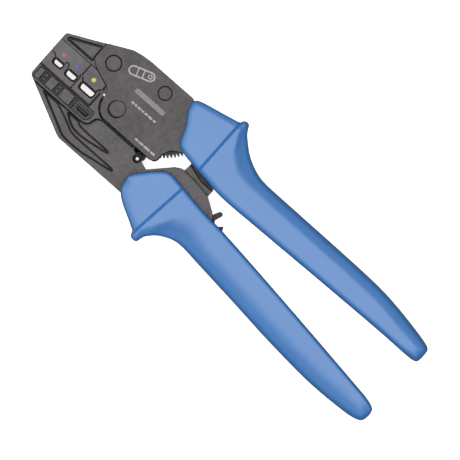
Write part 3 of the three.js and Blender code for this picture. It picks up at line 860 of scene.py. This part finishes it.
# The moving jaw's flange has two long ribbed pockets.
OUTER_POCKET = [
    (-16.3, 31.2), (-15.6, 30.6), (-15.6, 22.0), (-18.5, 14.8), (-21.3, 9.0), (-21.7, 6.0),
    (-21.7, -15.8), (-22.4, -17.2), (-23.3, -17.0), (-24.0, -14.0), (-26.2, -1.0), (-26.6, 6.0),
    (-26.2, 11.0), (-25.4, 12.8),
]
INNER_POCKET = [
    (-16.5, 16.4), (-15.5, 15.8), (-15.5, 9.8), (-16.7, 7.6), (-16.9, 4.0), (-16.9, -9.0), (-17.6, -10.4),
    (-18.6, -10.0), (-19.2, -7.0), (-20.4, 0.0), (-20.9, 5.0), (-20.5, 9.6), (-19.6, 11.8),
]
FLANGE_CORNER = 0.9
FLANGE_WALL = (1.5, 1.05)

# Grooves painted black as shade: beside the side plate, round the raised block, beside the dies and round
# the hub
PLATE_GAP = [(-9.0, 3.4), (-7.6, 3.4), (-7.4, -16.2), (-9.0, -17.0)]
BLOCK_CORNER = [
    (-14.95, 9.5), (-14.55, 7.2), (-13.4, 5.65), (-11.6, 5.15), (-10, 4.65), (-9, 3.4), (-8.6, 2.2),
]
BLOCK_EDGE = [(-14.95, 36.4), *catmull(BLOCK_CORNER, 4)]
DIE_GROOVE = [(-8.0, 10.3), (-6.5, 10.3), (-6.5, TOP + 1), (-8.0, TOP + 1)]
HUB_EDGE = arc((0, 0), 8.6, 164, 91, 30)
JAW_GROOVES = [
    (PLATE_GAP, HALF_CORE, 1.7, 0.45),
    (strip(BLOCK_EDGE, 0, 0.8), HALF_CORE, 1.4, 0.35),
    (DIE_GROOVE, PLATE_OUTSIDE, 1.0, 0.3),
    (strip(HUB_EDGE, 0.25, 0.8), PLATE_OUTSIDE, 0.9, 0.4),
]
# The slit between the moving jaw and its dies, whose filler is painted black as shade
MOVING_SEAT = [(-7.8, TOP), (-7.0, TOP), (-7.0, 11.1), (0.2, 11.1), (0.2, 9.8), (-7.8, 9.8)]

# A thin tray behind the spring's hook, painted black as the shade there: its ring, the eye in it, its
# height and its tail
TRAY_RING, TRAY_EYE = 2.4, 0.7
TRAY_LOW, TRAY_HIGH = -3.5, -2.5
TRAY_TAIL = [
    (-10.9, -19.4), (-9.7, -17.6), (-8.7, -16.8), (-6.9, -16.2), (-6.9, -24.0), (-9.6, -24.4),
    (-10.9, -23.6),
]

# The panel on the block: pads left standing, sunk bands between them, studs in the bands, a framed slot.
# Painted shade lies in the recess round the pads, and darker painted shade in the bands and the slot.
PANEL = [(-14.3, 39.2), (-8.05, 39.2), (-8.05, 6.4), (-12.6, 6.4), (-14.3, 8.4)]
PANEL_WALL = (0.4, 0.25)
PANEL_FLOOR = PLATE_OUTSIDE - PANEL_WALL[0]
PANEL_CORNER = 1.2
PAD_LEFT, PAD_RIGHT = -13.6, -8.75
PADS = [(36.1, 38.5), (28.0, 32.1), (18.1, 24.1)]
BANDS = [(32.3, 35.9), (24.3, 27.8), (16.0, 17.9)]
BAND_LEFT, BAND_RIGHT = PAD_LEFT - 0.2, PAD_RIGHT + 0.2
BAND_WALL = (0.5, 0.25)
STUD_COLUMNS = (-12.1, -9.9)
STUD_RADIUS = 0.7
# A narrower band has no studs.
STUDDED_BAND = 2
LABEL = (-13.35, -8.9, 7.3, 15.5)
LABEL_RING = (0.45, 1.1)
LABEL_RING_WALL = (0.25, 0.25)
LABEL_SLOT = box_outline(-12.3, -10.4, 8.3, 14.2)
LABEL_SLOT_WALL = (0.8, 0.45)


def panel_detail(piece):
    """The recessed panel: raised pads, two bands with a pair of studs each, and a framed slot."""
    pads = [rounded(box_outline(PAD_LEFT, PAD_RIGHT, low, high), 0.5, 3) for low, high in PADS]
    label = rounded(box_outline(*LABEL), PANEL_CORNER, 4)
    pocket(piece, rounded(PANEL, PANEL_CORNER), PLATE_OUTSIDE, *PANEL_WALL, holes=[*pads, label])
    for low, high in BANDS:
        band = rounded(box_outline(BAND_LEFT, BAND_RIGHT, low, high), 0.4, 3)
        columns = STUD_COLUMNS if high - low > STUDDED_BAND else ()
        studs = [arc((x, (low + high) / 2), STUD_RADIUS, 0, 360, 16)[:-1] for x in columns]
        pocket(piece, band, PANEL_FLOOR, *BAND_WALL, holes=studs)
    left, right, low, high = LABEL
    outer, inner = (
        rounded(box_outline(left + inset, right - inset, low + inset, high - inset), 1.3 - inset, 4)
        for inset in LABEL_RING
    )
    pocket(piece, outer, PLATE_OUTSIDE, *LABEL_RING_WALL, holes=[inner])
    pocket(piece, rounded(LABEL_SLOT, 0.6), PLATE_OUTSIDE, *LABEL_SLOT_WALL)


def moving_jaw():
    """The moving jaw: ribbed flange, grooves, panel and the tray behind the spring's hook. Grooves, slit
    filler and tray are painted black as shade.
    """
    piece = cad_piece("moving_jaw", 0.4)
    for outline in (OUTER_POCKET, INNER_POCKET):
        pocket(piece, rounded(outline, FLANGE_CORNER), HALF_CORE, *FLANGE_WALL)
    for groove in JAW_GROOVES:
        pocket(piece, *groove)
    panel_detail(piece)
    bridge(piece, MOVING_SEAT, "moving_die_small", "moving_die_large")
    ring, eye = (arc(SPRING_HOOK, radius, 0, 360, 32)[:-1] for radius in (TRAY_RING, TRAY_EYE))
    tray = prism("tray", ring, TRAY_LOW, TRAY_HIGH)
    carve(tray, prism("tail", TRAY_TAIL, TRAY_LOW, TRAY_HIGH), "UNION")
    carve(tray, prism("eye", eye, TRAY_LOW - OVERCUT, TRAY_HIGH + OVERCUT))
    carve(piece, tray, "UNION")
    soften(piece, 0)
    put(piece, "jaw", STEEL, "steel", "moving_jaw")
    grooves = [(outline, surface) for outline, surface, *_ in JAW_GROOVES]
    tray_shade = [(offset(ring, 0.05), HALF_CORE), (TRAY_TAIL, HALF_CORE)]
    paint_shade(piece, BLACK_STEEL_AND_SHADE, *grooves, (MOVING_SEAT, SEAT_SHADE), *tray_shade)
    # Painted shade on the panel's recess floor round the pads
    paint_shade(piece, RECESS_SHADE_STEEL, (offset(PANEL, 0.1), PLATE_OUTSIDE))
    # Darker painted shade in the bands and in the slot
    bands = [(box_outline(BAND_LEFT, BAND_RIGHT, *band), PANEL_FLOOR) for band in BANDS]
    paint_shade(piece, SHADED_STEEL, *bands, (LABEL_SLOT, PLATE_OUTSIDE))


fixed_jaw()
moving_jaw()


# Each nest between the dies, as its left and right edge and its low and high end, flared at both faces, the
# flares painted black as shade
NESTS = [(-3.7, -1.1, 31.4, 36.5), (-4.1, -1.1, 23.2, 28.8), (-4.4, -1.1, 12.2, 20.0)]
NEST_FLARE = 0.5
FLARE_DEPTH = 1.3
FLARE_CORNER = 1.5
# Inside a nest a lip narrows it: a bar on the fixed die, a frame with a rounded hole on the moving one.
LIP_HALF = 4.5
BAR_WIDTH = 0.6
BAR_ROOT = 0.3
BAR_CORNER = 0.35
MOVING_FACE = -1.4
FRAME_MARGIN = 0.2
HOLE_INSET = 0.3
HOLE_REACH = 2
HOLE_CORNER = 1.3
# Slits that light would come through: between a small and a large die, and between the two jaws' dies
SPLIT_LOW, SPLIT_HIGH = DIE_SPLIT - 0.3, DIE_SPLIT + 0.4
FACE_LEFT, FACE_RIGHT = -1.25, 2
FACE_GAP = 0.15


def nest_lip(moving, left, right, low, high):
    """The lip of one nest, for the moving or the fixed die."""
    if not moving:
        bar = box_outline(right - BAR_WIDTH, right + BAR_ROOT, low + FRAME_MARGIN, high - FRAME_MARGIN)
        return prism("lip", rounded(bar, BAR_CORNER), -LIP_HALF, LIP_HALF)
    edges = (left - FRAME_MARGIN, MOVING_FACE, low - FRAME_MARGIN, high + FRAME_MARGIN)
    lip = prism("lip", box_outline(*edges), -LIP_HALF, LIP_HALF)
    hole = box_outline(left + HOLE_INSET, right + HOLE_REACH, low + HOLE_INSET, high - HOLE_INSET)
    carve(lip, prism("hole", rounded(hole, HOLE_CORNER), -LIP_HALF - OVERCUT, LIP_HALF + OVERCUT))
    return lip


def die(node, body, bottom, top, slits=()):
    """A die with flared, lipped nests, the flares painted black as shade. Each (outline, neighbour) slit to
    another die is closed inside.
    """
    piece = cad_piece(node, 0.3)
    flares = [rounded(offset(box_outline(*nest), NEST_FLARE), FLARE_CORNER) for nest in NESTS]
    for flare in flares:
        pocket(piece, flare, HALF_DIE, FLARE_DEPTH, NEST_FLARE)
    for nest in NESTS:
        if bottom < nest[2] < top:
            carve(piece, nest_lip(body == "jaw", *nest), "UNION")
    for outline, neighbour in slits:
        bridge(piece, outline, neighbour)
    soften(piece, 0)
    put(piece, body, DIE_STEEL, "die_steel", node)
    paint_shade(piece, BLACK_STEEL_AND_SHADE, *((flare, HALF_DIE) for flare in flares))


face_low = box_outline(FACE_LEFT, FACE_RIGHT, DIE_BOTTOM, DIE_SPLIT - FACE_GAP)
face_high = box_outline(FACE_LEFT, FACE_RIGHT, DIE_SPLIT + FACE_GAP, TOP)
moving_split = box_outline(-7.1, -0.2, SPLIT_LOW, SPLIT_HIGH)
fixed_split = box_outline(0.9, 7.1, SPLIT_LOW, SPLIT_HIGH)
die("moving_die_large", "jaw", DIE_BOTTOM, DIE_SPLIT)
die("moving_die_small", "jaw", DIE_SPLIT, TOP, [(moving_split, "moving_die_large")])
die("fixed_die_large", "frame", DIE_BOTTOM, DIE_SPLIT, [(face_low, "moving_die_large")])
fixed_slits = [(face_high, "moving_die_small"), (fixed_split, "fixed_die_large")]
die("fixed_die_small", "frame", DIE_SPLIT, TOP, fixed_slits)

# The link's face is plain steel in a strip along the lever. The rest lies lower and is painted black as the
# shade beside the strip.
LINK_LOW_SIDE = [(2.5, -40.5), (2.3, -43), (0.9, -47), (0.1, -50), (0, -58), (16, -58), (16, -40.5)]
LINK_LOW_WALL = (1.2, 0.4)
LINK_SHADE_AREA = box_outline(-0.5, 16, -60, -38)
LINK_SHADE_AREA_TOP = HALF_LINK - 0.07

toggle_link = cad_piece("toggle_link", 0.3)
pocket(toggle_link, LINK_LOW_SIDE, HALF_LINK, *LINK_LOW_WALL)
soften(toggle_link, 0)
put(toggle_link, "link", STEEL, "steel", "toggle_link")
paint_shade(toggle_link, BLACK_STEEL_AND_SHADE, (LINK_SHADE_AREA, LINK_SHADE_AREA_TOP))


# ---- Pins, rivets and size dots ----

# The crown of a pin's face and the rounding of its edge
DOME = 0.12
PIN_CHAMFER = 0.3
# Collars that fill the gap round a pin inside the plates: width, edge, foot and the height of each top
COLLAR = 0.25
COLLAR_EDGE = 0.1
COLLAR_FOOT = PLATE_INSIDE + 0.2
COLLAR_TOPS = {"main_pivot_pin": 6.65, "head_rivet": 6.3, "sector_pivot_pin": 6.3}
PINS = {
    "frame": [
        "main_pivot_pin", "head_rivet", "sector_pivot_pin", "link_pivot_pin", "pawl_pivot_pin",
        "tang_rivet_upper", "tang_rivet_lower", "spring_post",
    ],
    "lever": ["lever_pivot_pin", "knee_pin", "lever_rivet_upper", "lever_rivet_lower"],
}
# The paint spreads a little past its drilled spot and stands up in a low drop.
DOT_SPREAD = 1.15
DOT_BASE = HALF_DIE + 0.02
DOT_CROWN = HALF_DIE + 0.18
DOT_SHOULDER = DOT_BASE + 0.1


def round_size(node):
    """The centre, radius and half height of a round CAD node, in design millimetres."""
    low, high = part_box(node)
    middle = ((low + high) / 2 - PIVOT) / MM
    size = (high - low) / MM
    return (middle.x, middle.y), max(size.x, size.y) / 2, size.z / 2


def pin(node, body):
    """A turned pin with rounded edges and slightly crowned ends; a pin listed in COLLAR_TOPS also gets a
    collar inside each plate.
    """
    centre, radius, half = round_size(node)
    edge = half - DOME
    face = [(0, half), (radius * 0.5, half - DOME * 0.25), (radius - PIN_CHAMFER, edge)]
    face += [(radius - PIN_CHAMFER * 0.3, edge - PIN_CHAMFER * 0.3), (radius, edge - PIN_CHAMFER)]
    if node in COLLAR_TOPS:
        top, wide = COLLAR_TOPS[node], radius + COLLAR
        face += [(radius, top), (wide, top - COLLAR_EDGE)]
        face += [(wide, COLLAR_FOOT), (radius, COLLAR_FOOT - COLLAR_EDGE)]
    profile = face + [(r, -z) for r, z in reversed(face)]
    piece = lathe(f"{node}_fine", profile, centre)
    soften(piece, 0)
    put(piece, body, PIN_STEEL, "pin_steel", node)


def size_dot(node, material, slot):
    """A drop of paint in a drilled spot."""
    centre, radius, _ = round_size(node)
    radius *= DOT_SPREAD
    profile = [(0, DOT_BASE), (radius, DOT_BASE), (radius * 0.85, DOT_SHOULDER)]
    profile += [(radius * 0.5, DOT_CROWN - 0.01), (0, DOT_CROWN)]
    spot = lathe(f"{node}_fine", profile, centre, 32)
    soften(spot, 0)
    put(spot, "frame", material, slot, node)


for body, nodes in PINS.items():
    for node in nodes:
        pin(node, body)

for colour, material in DOTS.items():
    size_dot(f"{colour}_size_dot", material, f"{colour}_paint")


# ---- Jaw return spring ----

# The coil starts and ends this far from the hook and the post, and its wire leads on to a loop round each.
# A loop is a run of points at this first angle and step, in degrees.
WIRE_RADIUS = 0.45
HOOK_EYE = 1.3
HOOK_TURN = (50, 20, 15)
POST_EYE = 1.95
POST_TURN = (-90, 30, 9)
POST_LEAD = 2.4
COIL_RADIUS = 1.6
COIL_TURNS = 13
COIL_STEPS = 16
COIL_START = 2.7
COIL_END = 4.6


def spring_path():
    """The wire's route from the hook on the moving jaw, through the coil, to the post."""
    hook, post = Vector((*SPRING_HOOK, 0)), Vector((*SPRING_POST, 0))
    along = (post - hook).normalized()
    side = Vector((-along.y, along.x, 0))
    length = (post - hook).length

    def at(distance, across, height=0.0):
        return hook + along * distance + side * across + Vector((0, 0, height))

    def loop(distance, radius, start, step, count):
        turns = (math.radians(start + step * number) for number in range(count))
        return [at(distance + radius * math.cos(turn), radius * math.sin(turn)) for turn in turns]

    route = loop(0, HOOK_EYE, *HOOK_TURN)
    steps = COIL_TURNS * COIL_STEPS
    for step in range(steps + 1):
        share = step / steps
        turn = 2 * math.pi * COIL_TURNS * share
        along_coil = COIL_START + (length - COIL_START - COIL_END) * share
        route.append(at(along_coil, -COIL_RADIUS * math.cos(turn), COIL_RADIUS * math.sin(turn)))
    route.append(at(length - POST_LEAD, -POST_EYE))
    return route + loop(length, POST_EYE, *POST_TURN)


def tube(name, route, radius):
    """A round wire along a route of points."""
    curve = bpy.data.curves.new(name, "CURVE")
    curve.dimensions = "3D"
    curve.bevel_depth = radius
    curve.bevel_resolution = 2
    curve.use_fill_caps = True
    spline = curve.splines.new("NURBS")
    spline.points.add(len(route) - 1)
    for point, place in zip(spline.points, route):
        point.co = (*place, 1)
    spline.order_u = 3
    spline.use_endpoint_u = True
    spline.resolution_u = 2
    shape = link(name, curve)
    graph = bpy.context.evaluated_depsgraph_get()
    mesh = bpy.data.meshes.new_from_object(shape.evaluated_get(graph))
    bpy.data.objects.remove(shape)
    return link(name, mesh)


spring = tube("return_spring_coil", spring_path(), WIRE_RADIUS)
dress(spring, SPRING_STEEL, "spring_steel", "jaw_return_spring")
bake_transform(spring)


# ---- Printed marks on the front plate ----

PRINT_THICKNESS = 0.02
# A plain sleeve symbol between two points, with a ring at one end and two bars across it
SYMBOL = ((17.9, 6.2), (20.6, -1.6))
SYMBOL_OUTER, SYMBOL_INNER = 2.35, 1.65
RING_OUTER, RING_INNER = 1.1, 0.6
BAR_SHARES = (0.25, 0.6)
BAR_REACH = Vector((1.3, 0.45))
BAR_RADIUS = 0.3
# A pale stripe, and two rows of short bars where the tool carries print: start and lengths
STRIPE = (10.9, 13.2, -17.5, -0.5)
DASHES = (((6.7, -3.0), (0.8, 0.3, 1.3, 0.4, 0.9, 1.4, 0.6)), ((-4.8, -15.3), (0.8, 1.9, 2.6, 1.6)))
DASH_RADIUS = 0.5
DASH_GAP = 1.3


def mark(name, outline, material, holes=()):
    """One printed shape, as a thin sheet on the plate."""
    piece = prism(name, outline, PLATE_OUTSIDE, PLATE_OUTSIDE + PRINT_THICKNESS, holes)
    put(piece, "frame", material, "steel")


def capsule(start, end, radius, steps=14):
    """The outline of a rounded bar between two points."""
    turn = math.degrees(math.atan2(end[1] - start[1], end[0] - start[0]))
    return arc(end, radius, turn - 90, turn + 90, steps) + arc(start, radius, turn + 90, turn + 270, steps)


mark("sleeve_symbol_outline", capsule(*SYMBOL, SYMBOL_OUTER), PRINT, [capsule(*SYMBOL, SYMBOL_INNER)])
ring, eye = (arc(SYMBOL[1], radius, 0, 360, 24)[:-1] for radius in (RING_OUTER, RING_INNER))
mark("sleeve_symbol_end", ring, PRINT, [eye])
for number, share in enumerate(BAR_SHARES):
    middle = Vector(SYMBOL[0]).lerp(Vector(SYMBOL[1]), share)
    bar = capsule(middle - BAR_REACH, middle + BAR_REACH, BAR_RADIUS, 4)
    mark(f"sleeve_symbol_bar_{number + 1}", bar, PRINT)
mark("plain_stripe", rounded(box_outline(*STRIPE), 0.8), FAINT_PRINT)
for column, ((x, y), lengths) in enumerate(DASHES):
    for number, length in enumerate(lengths):
        mark(f"dash_{column + 1}_{number + 1}", capsule((x, y), (x, y - length), DASH_RADIUS, 6), PRINT)
        y -= length + DASH_GAP


# ---- Floor, light and camera ----

# Brightness of the room against the sine of the height above the horizon.
SKY = ((-1.0, 0.12), (0.0, 0.24), (0.6, 0.34), (0.86, 0.72), (0.95, 3.45), (1.0, 3.65))

FLOOR_HALF = 7.0
FLOOR_DROP = 0.0002
floor_mesh = bpy.data.meshes.new("studio_floor")
floor_edges = box_outline(-FLOOR_HALF, FLOOR_HALF, -FLOOR_HALF, FLOOR_HALF)
floor_height = cad_box[0].z - FLOOR_DROP
floor_mesh.from_pydata([(x, y, floor_height) for x, y in floor_edges], [], [(0, 1, 2, 3)])
floor = link("studio_floor", floor_mesh)
floor_mesh.materials.append(floor_look())
floor.visible_diffuse = False
floor.visible_glossy = False


def sky():
    """A bright softbox straight overhead in an evenly lit, dimmer room."""
    world = bpy.data.worlds.new("studio")
    world.use_nodes = True
    tree = world.node_tree
    back = tree.nodes["Background"]
    coordinates = tree.nodes.new("ShaderNodeTexCoord")
    height = tree.nodes.new("ShaderNodeSeparateXYZ")
    spread = tree.nodes.new("ShaderNodeMapRange")
    spread.inputs["From Min"].default_value = -1
    ramp = tree.nodes.new("ShaderNodeValToRGB")
    while len(ramp.color_ramp.elements) < len(SKY):
        ramp.color_ramp.elements.new(0.5)
    for element, (rise, light) in zip(ramp.color_ramp.elements, SKY):
        element.position = (rise + 1) / 2
        element.color = (light, light, light, 1)
    tree.links.new(coordinates.outputs["Generated"], height.inputs["Vector"])
    tree.links.new(height.outputs["Z"], spread.inputs["Value"])
    tree.links.new(spread.outputs["Result"], ramp.inputs["Fac"])
    tree.links.new(ramp.outputs["Color"], back.inputs["Color"])
    back.inputs["Strength"].default_value = 1.0
    bpy.context.scene.world = world


def softbox(name, place, target, size, power):
    """A round softbox that the camera doesn't see."""
    light = bpy.data.lights.new(name, "AREA")
    light.shape = "DISK"
    light.size = size
    light.energy = power
    lamp = bpy.data.objects.new(name, light)
    bpy.context.scene.collection.objects.link(lamp)
    lamp.location = place
    lamp.rotation_euler = (Vector(target) - Vector(place)).to_track_quat("-Z", "Y").to_euler()
    lamp.visible_camera = False


sky()
softbox("key", (-0.7, 0.9, 1.2), (0, 0, 0), 0.7, 4)

# The photograph looks straight down on the tool, turned so that the jaws point to the upper left.
VIEW_CENTRE = (-7.4, -74.6)
VIEW_WIDTH = 208.4
VIEW_ROLL = 48.5
CAMERA_HEIGHT = 3.0

camera = bpy.data.cameras.new("camera")
camera.sensor_width = 36
camera.lens = camera.sensor_width * (CAMERA_HEIGHT - HALF_GRIP * MM) / (VIEW_WIDTH * MM)
camera.clip_end = 20
camera_object = bpy.data.objects.new("camera", camera)
bpy.context.scene.collection.objects.link(camera_object)
camera_object.location = row(*VIEW_CENTRE) + Vector((0, 0, CAMERA_HEIGHT))
camera_object.rotation_euler = (0, 0, -math.radians(VIEW_ROLL))
bpy.context.scene.camera = camera_object
bpy.context.scene.view_settings.view_transform = "Standard"
